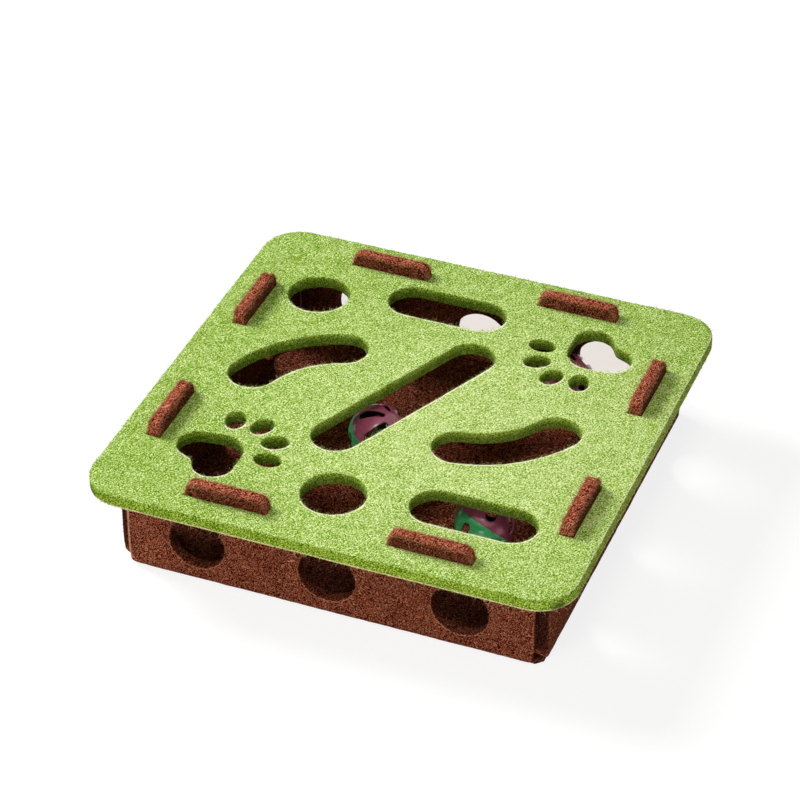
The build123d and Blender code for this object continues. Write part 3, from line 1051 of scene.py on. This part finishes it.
def pick_by_ray(tree, lit, seen, output):
    """Shows seen to rays from the camera, or by a mirror or glass, and lit to all others."""
    path = tree.nodes.new("ShaderNodeLightPath")
    either = path.outputs["Is Camera Ray"]
    for other in ("Is Glossy Ray", "Is Transmission Ray"):
        node = tree.nodes.new("ShaderNodeMath")
        node.operation = "MAXIMUM"
        tree.links.new(either, node.inputs[0])
        tree.links.new(path.outputs[other], node.inputs[1])
        either = node.outputs[0]
    pick = tree.nodes.new("ShaderNodeMixShader")
    tree.links.new(either, pick.inputs[0])
    tree.links.new(lit.outputs[0], pick.inputs[1])
    tree.links.new(seen.outputs[0], pick.inputs[2])
    tree.links.new(pick.outputs[0], tree.nodes[output].inputs["Surface"])


paper = bpy.data.materials.new("floor_white")
paper.use_nodes = True
tree = paper.node_tree
tree.nodes.remove(tree.nodes["Principled BSDF"])
shade = tree.nodes.new("ShaderNodeBsdfDiffuse")
shade.inputs["Color"].default_value = FLOOR_SHADE
glow = tree.nodes.new("ShaderNodeEmission")
glow.inputs["Strength"].default_value = FLOOR_GLOW
# Painted shadow on the floor behind the box, fading to white away from its middle
spot = tree.nodes.new("ShaderNodeMapping")
spot.vector_type = "TEXTURE"
spot.inputs["Location"].default_value = BEHIND_PLACE
spot.inputs["Scale"].default_value = BEHIND_SIZE
tree.links.new(tree.nodes.new("ShaderNodeTexCoord").outputs["Object"], spot.inputs["Vector"])
away = tree.nodes.new("ShaderNodeVectorMath")
away.operation = "LENGTH"
tree.links.new(spot.outputs["Vector"], away.inputs[0])
fade = tree.nodes.new("ShaderNodeMapRange")
fade.inputs["From Min"].default_value, fade.inputs["From Max"].default_value = BEHIND_FADE
tree.links.new(away.outputs["Value"], fade.inputs["Value"])
behind = tree.nodes.new("ShaderNodeValToRGB")
behind.color_ramp.elements[0].color = BEHIND_SHADOW_GREY
behind.color_ramp.elements[1].color = FLOOR_WHITE
tree.links.new(fade.outputs["Result"], behind.inputs["Fac"])
tree.links.new(behind.outputs["Color"], glow.inputs["Color"])
shown = tree.nodes.new("ShaderNodeAddShader")
tree.links.new(shade.outputs[0], shown.inputs[0])
tree.links.new(glow.outputs[0], shown.inputs[1])
bounce = tree.nodes.new("ShaderNodeBsdfDiffuse")
bounce.inputs["Color"].default_value = FLOOR_BOUNCE
pick_by_ray(tree, bounce, shown, "Material Output")
floor_mesh.materials.append(paper)

world = bpy.data.worlds.new("studio")
scene.world = world
world.use_nodes = True
tree = world.node_tree
soft = tree.nodes["Background"]
soft.inputs["Color"].default_value = WORLD_LIGHT
soft.inputs["Strength"].default_value = WORLD_STRENGTH
white = tree.nodes.new("ShaderNodeBackground")
white.inputs["Color"].default_value = WORLD_WHITE
white.inputs["Strength"].default_value = 1.0
pick_by_ray(tree, soft, white, "World Output")


# Lamps
def softbox(name, place, aim, size, power, spread=180.0, colour=(1, 1, 1)):
    data = bpy.data.lights.new(name, "AREA")
    data.shape = "DISK"
    data.size = size
    data.energy = power
    data.color = colour
    data.spread = math.radians(spread)
    lamp = bpy.data.objects.new(name, data)
    scene.collection.objects.link(lamp)
    lamp.location = place
    lamp.rotation_euler = (Vector(place) - Vector(aim)).to_track_quat("Z", "Y").to_euler()


softbox("key", place=(-2.72, 0.76, 2.05), aim=(0, 0, 0.05), size=1.4, power=126.0)
softbox("pool", place=(0.20, -0.85, 1.35), aim=(0.05, -0.06, 0.06), size=0.5, power=0.30,
        spread=40.0, colour=(1, 0.97, 0.8))
softbox("front", place=(0.60, -2.40, 0.80), aim=(0, 0, 0.05), size=1.4, power=15.0)

# Camera, as solved from the lid's edges in the photo
CAMERA_LENS = 139.88
CAMERA_SENSOR = 36.0
CAMERA_CLIP = (0.05, 20.0)
CAMERA_AIM = Vector((-0.0069, -0.0014, LID_TOP * MM))
CAMERA_DISTANCE = 2.0549
CAMERA_RIGHT = Vector((0.9309, 0.3652, 0.0034))
CAMERA_BACK = Vector((0.2933, -0.7534, 0.5885))

scene.view_settings.view_transform = "Standard"
view = bpy.data.cameras.new("view")
view.lens = CAMERA_LENS
view.sensor_width = CAMERA_SENSOR
view.clip_start, view.clip_end = CAMERA_CLIP
camera = bpy.data.objects.new("view", view)
scene.collection.objects.link(camera)
back = CAMERA_BACK.normalized()
up = back.cross(CAMERA_RIGHT.normalized()).normalized()
axes = Matrix((up.cross(back), up, back)).transposed().to_4x4()
camera.matrix_world = Matrix.Translation(CAMERA_AIM + CAMERA_DISTANCE * back) @ axes
scene.camera = camera
